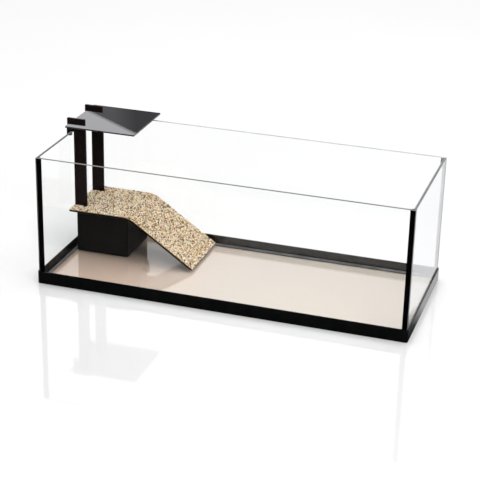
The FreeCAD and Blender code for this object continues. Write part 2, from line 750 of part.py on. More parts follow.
def make_nozzle():
    """Swivelling elbow: a collar in the wall's hole, a flange outside and a spout that points down."""
    wall_face = sheet.filter_left + sheet.filter_length
    axis_y = sheet.pump_y + sheet.spigot_offset
    axis_z = sheet.pump_top + sheet.spigot_height
    collar_start = wall_face - sheet.collar_depth
    spout_x = wall_face + sheet.spout_reach
    flange_start = wall_face + sheet.nozzle_gap

    def drum(radius, x_from, x_to):
        """A cylinder on the swivel axis between two places along X."""
        start = FreeCAD.Vector(x_from, axis_y, axis_z)
        return Part.makeCylinder(radius, x_to - x_from, start, FreeCAD.Vector(1, 0, 0))

    def drop(radius, length):
        """A cylinder hanging from the swivel axis."""
        start = FreeCAD.Vector(spout_x, axis_y, axis_z)
        return Part.makeCylinder(radius, length, start, FreeCAD.Vector(0, 0, -1))

    solid = drum(sheet.collar_radius, collar_start, wall_face + sheet.nozzle_reach)
    solid = solid.fuse(drum(sheet.nozzle_flange, flange_start, flange_start + sheet.nozzle_plate))
    solid = solid.fuse(drop(sheet.spigot_radius, sheet.spout_drop)).removeSplitter()
    solid = solid.cut(drum(sheet.spigot_radius + sheet.nozzle_play, collar_start, wall_face))
    solid = solid.cut(drum(sheet.spigot_bore, wall_face, spout_x + sheet.spigot_bore))
    return shaped("outlet_nozzle", solid.cut(drop(sheet.spigot_bore, sheet.spout_drop + OVERSHOOT)))


def build():
    """Make every sub-part and return them in the order they go together."""
    front, rear = "hanger_front", "hanger_front + hanger_pitch"
    bottom_seam = make_bottom_seam()
    seams = [make_corner_seam(f"seam_{face}_{hand}", side, end, bottom_seam)
             for face, end in (("front", -1), ("back", 1)) for hand, side in (("left", -1), ("right", 1))]
    tank = [make_base_frame(), make_base_mat(), *make_panes(), bottom_seam, *seams]
    station = [make_hanger("hanger_front", front), make_hanger("hanger_rear", rear),
               make_deck(), make_gravel_coat(),
               make_lock_key("lock_key_front", front), make_lock_key("lock_key_rear", rear)]
    shaft = make_shaft()
    bushes = [make_bush("shaft_bush_lower", "pump_top - well_depth", shaft),
              make_bush("shaft_bush_upper", "pump_top + chamber_height", shaft)]
    filter_unit = [make_housing(), make_lid(), make_feet(), *make_media(), make_divider(),
                   make_pump_body(), make_volute(), shaft, *bushes, make_gland(), make_nozzle(),
                   make_dial(), make_rotor(), make_impeller()]
    return [*tank, *station, make_shelf(), *filter_unit]


def check(pieces):
    """Stop if any object failed, or if a sub-part's shape is empty or broken."""
    doc.recompute()
    for item in doc.Objects:
        if "Invalid" in item.State or "Error" in item.State:
            raise RuntimeError(f"{item.Name} failed: {item.State}")
    for piece in pieces:
        shape = piece.Shape
        if shape.isNull() or not shape.isValid() or not shape.Solids:
            raise RuntimeError(f"{piece.Label} has no valid solid")


os.makedirs("parts", exist_ok=True)
pieces = build()
check(pieces)
for piece in pieces:
    piece.Shape.exportStep(f"parts/{piece.Label}.step")
    box = piece.Shape.BoundBox
    print(f"{piece.Label:18} x {box.XMin:7.1f} {box.XMax:7.1f}  y {box.YMin:7.1f} {box.YMax:7.1f}"
          f"  z {box.ZMin:6.1f} {box.ZMax:6.1f}  solids {len(piece.Shape.Solids)}")
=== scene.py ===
"""Looks of an open glass turtle tank, with a basking deck and a filter box, built round the CAD part."""
import bisect
import itertools
import math
import random

import bmesh
import bpy
from mathutils import Matrix, Vector, noise
from mathutils.bvhtree import BVHTree


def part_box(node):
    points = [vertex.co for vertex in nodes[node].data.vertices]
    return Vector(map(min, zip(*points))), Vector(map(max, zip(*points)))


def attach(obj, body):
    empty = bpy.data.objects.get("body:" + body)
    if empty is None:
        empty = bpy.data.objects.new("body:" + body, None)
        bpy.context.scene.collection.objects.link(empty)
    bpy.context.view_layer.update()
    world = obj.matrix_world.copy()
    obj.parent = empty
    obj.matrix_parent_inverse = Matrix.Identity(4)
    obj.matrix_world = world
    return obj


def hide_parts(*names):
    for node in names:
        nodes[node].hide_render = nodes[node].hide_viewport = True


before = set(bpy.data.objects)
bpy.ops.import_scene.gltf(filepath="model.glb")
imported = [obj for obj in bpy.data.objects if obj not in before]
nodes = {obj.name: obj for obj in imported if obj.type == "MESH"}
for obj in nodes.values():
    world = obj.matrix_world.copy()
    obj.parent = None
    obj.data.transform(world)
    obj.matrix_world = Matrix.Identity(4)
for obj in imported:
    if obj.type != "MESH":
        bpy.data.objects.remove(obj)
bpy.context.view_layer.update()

MM = 0.001


# ---------------------------------------------------------------- materials

class Finish:
    """A procedural material: one Principled shader, fed by textures that lie in the piece's own space."""

    def __init__(self, name, **settings):
        self.material = bpy.data.materials.new(name)
        self.material.use_nodes = True
        self.tree = self.material.node_tree
        self.tree.nodes.clear()
        self.output = self.add("ShaderNodeOutputMaterial")
        self.shader = self.add("ShaderNodeBsdfPrincipled")
        self.link(self.shader.outputs[0], self.output.inputs["Surface"])
        self.place = self.add("ShaderNodeTexCoord").outputs["Object"]
        for socket, value in settings.items():
            self.set(socket.replace("_", " "), value)

    def add(self, kind, **attributes):
        node = self.tree.nodes.new(kind)
        for name, value in attributes.items():
            setattr(node, name, value)
        return node

    def link(self, source, target):
        self.tree.links.new(source, target)

    def set(self, socket, value):
        """Sets a plain value on the shader's own socket."""
        names = {s.name.lower(): s for s in self.shader.inputs}
        names[socket.lower()].default_value = value

    def feed(self, source, socket):
        self.link(source, self.shader.inputs[socket])

    def stretched(self, factors):
        """The piece's coordinates, scaled along each axis."""
        mapping = self.add("ShaderNodeMapping")
        mapping.inputs["Scale"].default_value = factors
        self.link(self.place, mapping.inputs["Vector"])
        return mapping.outputs[0]

    def noise(self, size, detail=2.0, roughness=0.5, stretch=None):
        """Soft noise whose blotches are about `size` metres across."""
        node = self.add("ShaderNodeTexNoise")
        node.inputs["Scale"].default_value = 1 / size
        node.inputs["Detail"].default_value = detail
        node.inputs["Roughness"].default_value = roughness
        self.link(self.stretched(stretch) if stretch else self.place, node.inputs["Vector"])
        return node.outputs["Fac"]

    def cells(self, size, feature="F1", output="Distance"):
        """Cells about `size` metres across, like foam pores, grains or tumbled texture."""
        node = self.add("ShaderNodeTexVoronoi", feature=feature)
        node.inputs["Scale"].default_value = 1 / size
        self.link(self.place, node.inputs["Vector"])
        return node.outputs[output]

    def island(self):
        """A number from 0 to 1 that is the same all over each loose part of the mesh."""
        return self.add("ShaderNodeNewGeometry").outputs["Random Per Island"]

    def ramp(self, source, stops, steps=False):
        """A colour ramp through (position, colour) stops."""
        node = self.add("ShaderNodeValToRGB")
        node.color_ramp.interpolation = "CONSTANT" if steps else "LINEAR"
        elements = node.color_ramp.elements
        while len(elements) < len(stops):
            elements.new(1.0)
        for element, (position, colour) in zip(elements, stops):
            element.position = position
            element.color = (*colour, 1)
        self.link(source, node.inputs[0])
        return node.outputs["Color"]

    def levels(self, source, low, high, start=0.3, end=0.7):
        """A number that runs from low to high as the source runs from start to end.

        Most of a noise lies between 0.3 and 0.7.
        """
        node = self.add("ShaderNodeMapRange")
        for socket, value in zip(("From Min", "From Max", "To Min", "To Max"), (start, end, low, high)):
            node.inputs[socket].default_value = value
        self.link(source, node.inputs["Value"])
        return node.outputs["Result"]

    def along(self, axis, start, end, low=0.0, high=1.0):
        """A number that runs from low to high between two places on an axis of the piece's own space."""
        split = self.add("ShaderNodeSeparateXYZ")
        self.link(self.place, split.inputs[0])
        return self.levels(split.outputs[axis], low, high, start, end)

    def over(self, source, limit):
        """1 where the source is over the limit, and 0 elsewhere."""
        node = self.add("ShaderNodeMath", operation="GREATER_THAN")
        self.link(source, node.inputs[0])
        node.inputs[1].default_value = limit
        return node.outputs[0]

    def path(self, output):
        """What is known about the ray that meets the surface, such as its length."""
        return self.add("ShaderNodeLightPath").outputs[output]

    def shade(self, source, colour, spread):
        """Makes the base colour go from a darker to a lighter version of a colour as a noise goes up."""
        dark, light = tones(colour, spread)
        self.feed(self.ramp(source, [(0.3, dark), (0.7, light)]), "Base Color")

    def mix(self, factor, first, second, blend="MIX"):
        """A mix of two colours, each a socket or a plain colour."""
        node = self.add("ShaderNodeMix", data_type="RGBA", blend_type=blend)
        colours = [s for s in node.inputs if s.type == "RGBA"]
        self.plug(factor, node.inputs[0])
        self.plug(first, colours[0])
        self.plug(second, colours[1])
        return [s for s in node.outputs if s.type == "RGBA"][0]

    def plug(self, value, socket):
        """Links a socket, or sets a number or a colour."""
        if isinstance(value, bpy.types.NodeSocket):
            self.link(value, socket)
        elif isinstance(value, tuple):
            socket.default_value = (*value, 1)
        else:
            socket.default_value = value

    def bump(self, *layers):
        """Relief from (height source, depth in metres) layers, laid one on another."""
        normal = None
        for source, depth in layers:
            node = self.add("ShaderNodeBump")
            node.inputs["Distance"].default_value = depth
            self.link(source, node.inputs["Height"])
            if normal:
                self.link(normal, node.inputs["Normal"])
            normal = node.outputs["Normal"]
        self.feed(normal, "Normal")

    def glow(self, strength, colour=None):
        """A shader that gives out light: white, or the colour of a socket."""
        node = self.add("ShaderNodeEmission")
        node.inputs["Strength"].default_value = strength
        if colour:
            self.link(colour, node.inputs["Color"])
        return node.outputs[0]

    def choose(self, factor, first, second):
        """Makes the surface the first shader where the factor is 0, and the second where it is 1."""
        mixer = self.add("ShaderNodeMixShader")
        self.link(factor, mixer.inputs["Fac"])
        self.link(first, mixer.inputs[1])
        self.link(second, mixer.inputs[2])
        self.link(mixer.outputs[0], self.output.inputs["Surface"])

    def let_lamps_through(self, tint):
        """Glass passes lamp light straight to what is behind it."""
        clear = self.add("ShaderNodeBsdfTransparent")
        clear.inputs["Color"].default_value = (*tint, 1)
        self.choose(self.path("Is Shadow Ray"), self.shader.outputs[0], clear.outputs[0])


def grey(value):
    """A grey of that brightness."""
    return (value, value, value)


def tones(colour, spread):
    """A darker and a lighter version of a colour."""
    return tuple(c * (1 - spread) for c in colour), tuple(min(1, c * (1 + spread)) for c in colour)


def clear_glass(name="clear_glass", ior=1.5):
    """Float glass faces: clean, with no more than a trace of green."""
    finish = Finish(name, Base_Color=(0.995, 1.0, 0.998, 1), Roughness=0.0, IOR=ior,
                    Transmission_Weight=1.0)
    finish.let_lamps_through((0.97, 0.98, 0.975))
    return finish.material


def ground_edge(name="ground_edge", brightness=0.13):
    """Machined glass edge: matt, grey with a little green, with fine grinding lines along it."""
    finish = Finish(name, IOR=1.5)
    lines = finish.noise(0.4 * MM, 3, stretch=(0.02, 0.02, 1))
    clouds = finish.noise(30 * MM, 2)
    finish.shade(clouds, (brightness, brightness * 1.04, brightness * 1.02), 0.2)
    finish.feed(finish.levels(lines, 0.25, 0.45), "Roughness")
    finish.bump((lines, 0.01 * MM))
    return finish.material


def moulded_plastic(name, colour, rough, grain, relief, gloss=0.5):
    """Moulded plastic: an even colour with faint clouding, a fine texture and slightly uneven gloss."""
    finish = Finish(name, IOR=1.46, Specular_IOR_Level=gloss)
    clouds = finish.noise(18 * MM, 4, 0.6)
    skin = finish.cells(grain)
    smears = finish.noise(45 * MM, 3, 0.55, stretch=(0.3, 1, 1))
    finish.shade(clouds, colour, 0.25)
    finish.feed(finish.levels(smears, rough * 0.8, rough * 1.25), "Roughness")
    finish.bump((skin, relief), (finish.noise(grain * 12, 2), relief))
    return finish.material


def acrylic(name, colour, rough, ior=1.49, gloss=0.5):
    """Cut acrylic sheet: deep colour, polished faces with a few hairline scratches."""
    finish = Finish(name, IOR=ior, Specular_IOR_Level=gloss)
    haze = finish.noise(60 * MM, 3)
    hairs = finish.noise(1.2 * MM, 4, 0.7, stretch=(0.04, 0.3, 1))
    finish.shade(haze, colour, 0.2)
    finish.feed(finish.levels(hairs, rough, rough * 2.2, 0.45, 0.75), "Roughness")
    finish.bump((hairs, 0.002 * MM), (haze, 0.02 * MM))
    return finish.material


def silicone(name, colour):
    """Tooled sealant: satin, with the slow waves and thumb marks of a bead smoothed by hand."""
    finish = Finish(name, IOR=1.42, Specular_IOR_Level=0.35)
    waves = finish.noise(14 * MM, 2, stretch=(0.5, 0.5, 0.5))
    specks = finish.noise(0.8 * MM, 3)
    finish.shade(waves, colour, 0.3)
    finish.feed(finish.levels(specks, 0.28, 0.42), "Roughness")
    finish.bump((waves, 0.15 * MM), (specks, 0.01 * MM))
    return finish


def clear_silicone(name="clear_silicone", brightness=0.93):
    """Clear sealant between panes. It has glass on most sides, so it hardly bends light. A coat shines."""
    finish = silicone(name, (brightness, brightness * 1.01, brightness * 1.01))
    finish.set("IOR", 1.03)
    finish.set("Transmission Weight", 0.8)
    finish.set("Coat Weight", 0.5)
    finish.set("Coat Roughness", 0.2)
    finish.let_lamps_through((0.9, 0.92, 0.92))
    return finish.material


def foam(name, dark, light, pore, depth, tint=None):
    """Foam: pores of one size, each darker inside with painted shade.

    A tint is (colour, start, end): painted warm bounce light. It is full before X = start and gone from X =
    end on.
    """
    finish = Finish(name, Specular_IOR_Level=0.2, Roughness=0.9)
    pores = finish.cells(pore)
    clouds = finish.noise(pore * 30, 3)
    # Painted shade: each pore darkens towards its middle, the deepest part of the hole.
    walls = finish.ramp(pores, [(0.15, dark), (0.55, light)])
    # The tint paints warm bounce light over the walls, fading out along X.
    if tint:
        colour, start, end = tint
        fade = finish.along("X", start, end, 1.0, 0.0)
        walls = finish.mix(fade, walls, finish.mix(1.0, walls, colour, "MULTIPLY"))
    finish.feed(finish.mix(finish.levels(clouds, 0.0, 0.25), walls, dark), "Base Color")
    finish.bump((pores, depth))
    return finish.material


def felt(name, dark, light):
    """Pressed fibre: short hairs in every direction."""
    finish = Finish(name, Specular_IOR_Level=0.15, Roughness=0.95)
    hairs = finish.noise(0.5 * MM, 5, 0.8, stretch=(0.2, 1, 1))
    crossing = finish.noise(0.5 * MM, 5, 0.8, stretch=(1, 1, 0.2))
    tangle = finish.mix(0.5, hairs, crossing)
    finish.feed(finish.ramp(tangle, [(0.4, dark), (0.6, light)]), "Base Color")
    finish.bump((tangle, 0.3 * MM))
    return finish.material


def rubber():
    """Soft black rubber, with a little dust in its texture."""
    finish = Finish("soft_rubber", Specular_IOR_Level=0.3)
    dust = finish.noise(3 * MM, 5, 0.7)
    shades = finish.ramp(dust, [(0.35, (0.012, 0.012, 0.012)), (0.75, (0.03, 0.029, 0.028))])
    finish.feed(shades, "Base Color")
    finish.feed(finish.levels(dust, 0.55, 0.75), "Roughness")
    finish.bump((dust, 0.03 * MM))
    return finish.material


def ceramic():
    """Polished white ceramic, for the pump's shaft."""
    finish = Finish("white_ceramic", IOR=1.7)
    clouds = finish.noise(2 * MM, 4)
    finish.feed(finish.ramp(clouds, [(0.3, (0.78, 0.77, 0.74)), (0.7, (0.86, 0.85, 0.83))]), "Base Color")
    finish.feed(finish.levels(clouds, 0.12, 0.22), "Roughness")
    return finish.material


def ferrite():
    """Sintered magnet: dark grey grains with a dull metallic shine."""
    finish = Finish("ferrite", Metallic=0.6)
    grains = finish.cells(0.4 * MM)
    shades = finish.ramp(grains, [(0.1, (0.035, 0.035, 0.038)), (0.6, (0.075, 0.075, 0.08))])
    finish.feed(shades, "Base Color")
    finish.feed(finish.levels(grains, 0.35, 0.55, 0.1, 0.6), "Roughness")
    finish.bump((grains, 0.02 * MM))
    return finish.material


# The share of the stones that has each colour.
STONE_TONES = [
    (0.16, (0.95, 0.73, 0.45)),
    (0.17, (0.98, 0.85, 0.60)),
    (0.10, (0.60, 0.40, 0.21)),
    (0.07, (0.15, 0.08, 0.035)),
    (0.17, (0.99, 0.90, 0.70)),
    (0.08, (0.95, 0.69, 0.54)),
    (0.05, (0.55, 0.44, 0.27)),
    (0.14, (1.0, 0.97, 0.88)),
    (0.03, (0.26, 0.17, 0.10)),
    (0.03, (0.66, 0.38, 0.21)),
]


def gravel_stone():
    """Mixed river gravel: each stone has one of the tones, its own mottling and a thin gloss of resin."""
    finish = Finish("gravel_stone", IOR=1.5, Specular_IOR_Level=0.2)
    stops, reached = [], 0.0
    for share, colour in STONE_TONES:
        stops.append((reached, colour))
        reached += share
    stone = finish.ramp(finish.island(), stops, steps=True)
    mottle = finish.noise(0.9 * MM, 4, 0.7)
    shade = finish.ramp(mottle, [(0.3, (0.93, 0.91, 0.87)), (0.6, (1.0, 1.0, 1.0))])
    finish.feed(finish.mix(1.0, stone, shade, "MULTIPLY"), "Base Color")
    finish.feed(finish.levels(mottle, 0.35, 0.7), "Roughness")
    finish.bump((mottle, 0.12 * MM))
    return finish.material


def gravel_bed():
    """Sand and resin between the stones. Their dark brown also paints the shade in the deep gaps between the
    stones.
    """
    finish = Finish("gravel_bed", IOR=1.5, Specular_IOR_Level=0.2)
    sand = finish.cells(0.5 * MM, output="Color")
    # The dark browns are partly the sand's colour and partly painted shade in the gaps between the stones.
    brown = finish.ramp(sand, [(0.2, (0.06, 0.035, 0.016)), (0.8, (0.33, 0.22, 0.11))])
    finish.feed(brown, "Base Color")
    finish.feed(finish.levels(sand, 0.4, 0.8), "Roughness")
    finish.bump((finish.cells(0.5 * MM), 0.25 * MM))
    return finish.material


# The panes reflect more or less strongly in the photograph, so their indices of refraction differ.
GLASS = clear_glass()
QUIET_GLASS = clear_glass("quiet_glass", 1.16)
BACK_GLASS = clear_glass("back_glass", 1.38)
SHINY_GLASS = clear_glass("shiny_glass", 1.7)
GROUND = ground_edge()
# Copies of the ground edge, darker or lighter by pane: painted shade on the bottom and left panes' edges,
# painted light on the back pane's.
PAINTED_SHADE_EDGE = ground_edge("painted_shade_ground_edge", 0.05)
PAINTED_LIGHT_EDGE = ground_edge("painted_light_ground_edge", 0.42)
# A darker copy of the clear sealant for the bottom seam: painted shade along the joint with the floor.
SHADED_FLOOR_SILICONE = clear_silicone("shaded_floor_silicone", 0.45)

# The finish of each material slot.
FINISHES = {
    "clear_glass": GLASS,
    "frame_plastic": moulded_plastic("frame_plastic", (0.0035, 0.0038, 0.004), 0.16, 0.7 * MM,
                                     0.004 * MM, 0.3),
    # The mat's tint is painted warm bounce light on the mat in the deck's shade, at the left.
    "mat_foam": foam("mat_foam", (0.528, 0.448, 0.386), (0.582, 0.512, 0.455), 0.6 * MM, 0.1 * MM,
                     tint=((1.09, 0.93, 0.86), -0.24, 0.0)),
    "black_silicone": silicone("black_silicone", (0.004, 0.004, 0.0042)).material,
    "clear_silicone": clear_silicone(),
    "black_acrylic": acrylic("black_acrylic", (0.0080, 0.0040, 0.0035), 0.10, gloss=0.12),
    "shelf_acrylic": acrylic("shelf_acrylic", (0.010, 0.010, 0.011), 0.015, ior=1.9),
    "gravel": gravel_bed(),
    "housing_plastic": moulded_plastic("housing_plastic", (0.0060, 0.0048, 0.0045), 0.38, 0.6 * MM,
                                       0.02 * MM, 0.07),
    "soft_rubber": rubber(),
    "blue_sponge": foam("blue_sponge", (0.006, 0.035, 0.11), (0.03, 0.13, 0.30), 1.6 * MM, 0.9 * MM),
    "white_sponge": foam("white_sponge", (0.55, 0.55, 0.52), (0.82, 0.82, 0.80), 0.8 * MM, 0.4 * MM),
    "carbon_felt": felt("carbon_felt", (0.008, 0.008, 0.009), (0.04, 0.04, 0.042)),
    "pump_plastic": moulded_plastic("pump_plastic", (0.012, 0.012, 0.013), 0.3, 0.5 * MM, 0.01 * MM, 0.4),
    "white_ceramic": ceramic(),
    "ferrite": ferrite(),
    "impeller_plastic": moulded_plastic("impeller_plastic", (0.55, 0.56, 0.55), 0.35, 0.6 * MM, 0.01 * MM),
}


# ---------------------------------------------------------------- CAD nodes that stay

CUT_EDGE = 0.15 * MM
MOULDED_EDGE = 0.4 * MM
EDGE_ANGLE = math.radians(35)
HANGERS = ("hanger_front", "hanger_rear")
CUT_PIECES = (*HANGERS, "shelf_plate", "deck_and_ramp", "lock_key_front", "lock_key_rear")
MOULDED_PIECES = ("base_frame", "filter_housing", "filter_lid", "chamber_divider", "pump_body")


def soften(node, width):
    """Rounds the node's sharp edges by a fraction of a millimetre, so that they catch the light."""
    piece = nodes[node]
    weld = piece.modifiers.new("weld", "WELD")
    weld.merge_threshold = 0.001 * MM
    bevel = piece.modifiers.new("soft_edge", "BEVEL")
    bevel.width = width
    bevel.segments = 2
    bevel.limit_method = "ANGLE"
    bevel.angle_limit = EDGE_ANGLE
    bevel.use_clamp_overlap = True


def slot_of(node):
    """The record's material slot of a CAD node, which is the name of the material it came with."""
    return nodes[node].material_slots[0].material.name.split(".")[0]


def finish_cad_nodes():
    """Gives each CAD node the finish of its slot, and soft edges where the real piece has them."""
    for name, piece in nodes.items():
        piece.material_slots[0].material = FINISHES[slot_of(name)]
    for name in CUT_PIECES:
        soften(name, CUT_EDGE)
    for name in MOULDED_PIECES:
        soften(name, MOULDED_EDGE)
    # The bottom seam's darker sealant is painted shade along the floor joint.
    nodes["bottom_seam"].material_slots[0].material = SHADED_FLOOR_SILICONE
    for name in HANGERS:
        nodes[name].visible_glossy = False


# ---------------------------------------------------------------- new pieces

def clamp(value, low, high):
    return min(max(value, low), high)


def put_in_scene(name, data):
    """A new object for a mesh, a lamp or a camera."""
    made = bpy.data.objects.new(name, data)
    bpy.context.scene.collection.objects.link(made)
    return made


def finished(name, mesh, body, materials, replaced=()):
    """Puts a mesh in the scene as a piece that rides on a body."""
    piece = put_in_scene(name, mesh)
    for material in materials:
        mesh.materials.append(material)
    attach(piece, body)
    if replaced:
        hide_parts(*replaced)
    return piece


def box_mesh(low, high):
    """A bmesh box between two corners."""
    made = bmesh.new()
    bmesh.ops.create_cube(made, size=1)
    bmesh.ops.scale(made, vec=high - low, verts=made.verts)
    bmesh.ops.translate(made, vec=(low + high) / 2, verts=made.verts)
    return made


def to_mesh(made, name):
    """Turns a bmesh into a mesh whose faces look outwards."""
    mesh = bpy.data.meshes.new(name)
    bmesh.ops.recalc_face_normals(made, faces=made.faces)
    made.to_mesh(mesh)
    made.free()
    return mesh


ARRIS = 0.5 * MM
SQUARE_ON = 0.99


def make_pane(node, faces, edges):
    """A sheet of glass with clear faces, ground edges and a narrow arris all round."""
    low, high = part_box(node)
    size = high - low
    across = min(range(3), key=lambda axis: size[axis])
    made = box_mesh(low, high)
    bmesh.ops.bevel(made, geom=list(made.edges), offset=ARRIS, segments=1, affect="EDGES")
    made.normal_update()
    for face in made.faces:
        face.material_index = 0 if abs(face.normal[across]) > SQUARE_ON else 1
    return finished(f"glass_{node}", to_mesh(made, node), "tank", [faces, edges], [node])


def gridded_cube(counts):
    """A bmesh cube from 0 to 1 whose faces are cut into that many strips along each axis."""
    made = bmesh.new()
    for axis in range(3):
        first, second = [k for k in range(3) if k != axis]
        for side in (0, 1):
            rows = []
            for i in range(counts[first] + 1):
                row = []
                for j in range(counts[second] + 1):
                    point = [0.0, 0.0, 0.0]
                    point[axis] = float(side)
                    point[first] = i / counts[first]
                    point[second] = j / counts[second]
                    row.append(made.verts.new(point))
                rows.append(row)
            for i in range(counts[first]):
                for j in range(counts[second]):
                    made.faces.new((rows[i][j], rows[i + 1][j], rows[i + 1][j + 1], rows[i][j + 1]))
    bmesh.ops.remove_doubles(made, verts=made.verts, dist=1e-6)
    return made


DIP_WIDTH = 2.2


def worn(point, low, high, cell, softness, roughness):
    """Where a point of a foam block's surface goes: round at the edges, and inwards by an uneven dip.

    The dips are about DIP_WIDTH cells wide.
    """
    core = Vector([clamp(point[k], low[k] + softness, high[k] - softness) for k in range(3)])
    outward = point - core
    if outward.length > 0:
        point = core + outward.normalized() * softness
    dip = noise.noise(point / (cell * DIP_WIDTH)) * 0.5 + 0.5
    inward = (low + high) / 2 - point
    weights = Vector([abs(outward[k]) for k in range(3)])
    if weights.length > 0:
        weights.normalize()
    return point + Vector([math.copysign(dip * roughness * weights[k], inward[k]) for k in range(3)])


def make_foam_block(name, node, body, slot, cell, softness, roughness, gap=0.0):
    """A block of foam: cut faces that are never quite flat, and edges that have lost their sharpness."""
    low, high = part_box(node)
    low = low + Vector((gap, gap, gap))
    high = high - Vector((gap, gap, gap))
    size = high - low
    made = gridded_cube([max(2, round(size[axis] / cell)) for axis in range(3)])
    for vertex in made.verts:
        point = Vector([low[k] + vertex.co[k] * size[k] for k in range(3)])
        vertex.co = worn(point, low, high, cell, softness, roughness)
    piece = finished(name, to_mesh(made, name), body, [FINISHES[slot]], [node])
    for face in piece.data.polygons:
        face.use_smooth = True
    return piece


# ---------------------------------------------------------------- gravel

# For each size of stone: the least spacing, the smallest and largest radius, and how many places are tried.
STONE_SIZES = (
    (2.7 * MM, 1.4 * MM, 2.1 * MM, 26000),
    (1.75 * MM, 0.75 * MM, 1.1 * MM, 30000),
)

# A stone's half height and half width are shares of its radius, and each of its corners is moved in or out by
# a factor. Its tilt from the bed is in radians, and its lift above the bed is in half heights.
STONE_FLATNESS = (0.6, 0.9)
STONE_WIDTH = (0.7, 1.0)
STONE_CORNERS = (0.8, 1.15)
STONE_TILT = 0.4
STONE_LIFT = 0.5
STONE_SEED = 7

# The bed's share of the CAD layer's thickness, and the least Z of the normal of a face that gets stones.
BED_SHARE = 0.6
FACES_UP = 0.3

# In X and Y, the stones' middles stay EDGE_ROOM of the largest radius inside the CAD layer's box, and their
# corners stay SKIN inside it. FLOOR_GAP keeps them off the floor pane.
EDGE_ROOM = 0.3
SKIN = 0.05 * MM
FLOOR_GAP = 0.3 * MM
NEIGHBOURS = list(itertools.product((-1, 0, 1), repeat=3))


def bvh_of(node):
    """A search tree over a CAD node's mesh, for finding its nearest point."""
    mesh = nodes[node].data
    return BVHTree.FromPolygons([v.co for v in mesh.vertices], [tuple(p.vertices) for p in mesh.polygons])


def make_gravel_bed():
    """The gravel's lower part: sand and resin on the sheet, which is the CAD layer made thinner."""
    sheet = bvh_of("deck_and_ramp")
    mesh = nodes["gravel_coat"].data.copy()
    for vertex in mesh.vertices:
        foot = sheet.find_nearest(vertex.co)[0]
        vertex.co = foot + (vertex.co - foot) * BED_SHARE
    mesh.materials.clear()
    return finished("gravel_bed", mesh, "basking_station", [FINISHES["gravel"]], ["gravel_coat"])


def faces_to_cover(mesh):
    """The bed's upper triangles, as (corners, normal), with the running total of their area."""
    mesh.calc_loop_triangles()
    faces, totals, total = [], [], 0.0
    for triangle in mesh.loop_triangles:
        if triangle.normal.z > FACES_UP:
            total += triangle.area
            totals.append(total)
            faces.append(([mesh.vertices[k].co for k in triangle.vertices], triangle.normal.copy()))
    return faces, totals


def scatter(mesh, dice):
    """Stones for the bed, largest first, no two closer than their sizes allow: (point, normal, radius)."""
    faces, totals = faces_to_cover(mesh)
    low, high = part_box("gravel_coat")
    cell = STONE_SIZES[0][0]
    grid, found = {}, []
    for spacing, smallest, largest, darts in STONE_SIZES:
        for _ in range(darts):
            (a, b, c), normal = faces[bisect.bisect_left(totals, dice.random() * totals[-1])]
            first, second = sorted((dice.random(), dice.random()))
            point = a * first + b * (second - first) + c * (1 - second)
            margin = largest * EDGE_ROOM
            if any(not low[k] + margin < point[k] < high[k] - margin for k in (0, 1)):
                continue
            key = tuple(math.floor(v / cell) for v in point)
            around = [tuple(map(int.__add__, key, step)) for step in NEIGHBOURS]
            near = [other for place in around for other in grid.get(place, ())]
            if any((point - other).length < (spacing + room) / 2 for other, room in near):
                continue
            grid.setdefault(key, []).append((point, spacing))
            found.append((point, normal, dice.uniform(smallest, largest)))
    return found


def ball_template():
    """The corners and the triangles of a ball with a radius of 1."""
    template = bmesh.new()
    bmesh.ops.create_icosphere(template, subdivisions=1, radius=1)
    corners = [v.co.copy() for v in template.verts]
    triangles = [tuple(v.index for v in f.verts) for f in template.faces]
    template.free()
    return corners, triangles


def make_stones(bed):
    """Thousands of small irregular stones, each set at its own angle in the bed."""
    dice = random.Random(STONE_SEED)
    ball, triangles = ball_template()
    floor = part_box("bottom_pane")[1].z + FLOOR_GAP
    low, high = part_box("gravel_coat")
    points, faces = [], []
    for spot, normal, radius in scatter(bed.data, dice):
        height = radius * dice.uniform(*STONE_FLATNESS)
        shape = Matrix.Diagonal((radius, radius * dice.uniform(*STONE_WIDTH), height))
        nod = Matrix.Rotation(dice.uniform(-STONE_TILT, STONE_TILT), 3, "X")
        lean = Matrix.Rotation(dice.uniform(-STONE_TILT, STONE_TILT), 3, "Y")
        turn = Matrix.Rotation(dice.uniform(0, math.tau), 3, "Z")
        stand = normal.to_track_quat("Z", "Y").to_matrix()
        tilt = nod @ lean
        pose = stand @ tilt @ turn @ shape
        centre = spot + normal * height * STONE_LIFT
        first = len(points)
        for corner in ball:
            point = centre + pose @ (corner * dice.uniform(*STONE_CORNERS))
            point.x = clamp(point.x, low.x + SKIN, high.x - SKIN)
            point.y = clamp(point.y, low.y + SKIN, high.y - SKIN)
            point.z = max(point.z, floor)
            points.append(point)
        faces += [tuple(first + k for k in triangle) for triangle in triangles]
    mesh = bpy.data.meshes.new("gravel_stones")
    mesh.from_pydata(points, [], faces)
    return finished("gravel_stones", mesh, "basking_station", [gravel_stone()])


# ---------------------------------------------------------------- stage, lights, camera

CAMERA_AT = Vector((0.81443, -2.59865, 1.27058))
LOOKS_AT = Vector((-0.0021, 0.0, 0.0901))
CAMERA_ROLL = math.radians(1.35)
LENS = 111.2


def set_camera():
    """The photograph's view: a long lens, well above the rim and to the right of the front."""
    data = bpy.data.cameras.new("camera")
    data.lens = LENS
    data.clip_start = 0.05
    data.clip_end = 100
    camera = put_in_scene("camera", data)
    look = (LOOKS_AT - CAMERA_AT).to_track_quat("-Z", "Y")
    camera.rotation_mode = "QUATERNION"
    camera.rotation_quaternion = look @ Matrix.Rotation(CAMERA_ROLL, 3, "Z").to_quaternion()
    camera.location = CAMERA_AT
    bpy.context.scene.camera = camera


# What mirrors see of the floor. The tones run from the tank's front (0) to its back (1). Mirrors that are
# nearer to the floor than FRAME_REACH see the near ones.
FLOOR_HALF = 20
FLOOR_GLOW = 0.97
FRAME_REACH = 0.12
PALE = (1.0, 1.0, 1.02)
NEAR_TONES = [(0.0, grey(0.01)), (0.25, grey(0.1)), (0.55, grey(0.95)), (1.0, PALE)]
FAR_TONES = [(0.0, grey(0.25)), (0.03, PALE)]


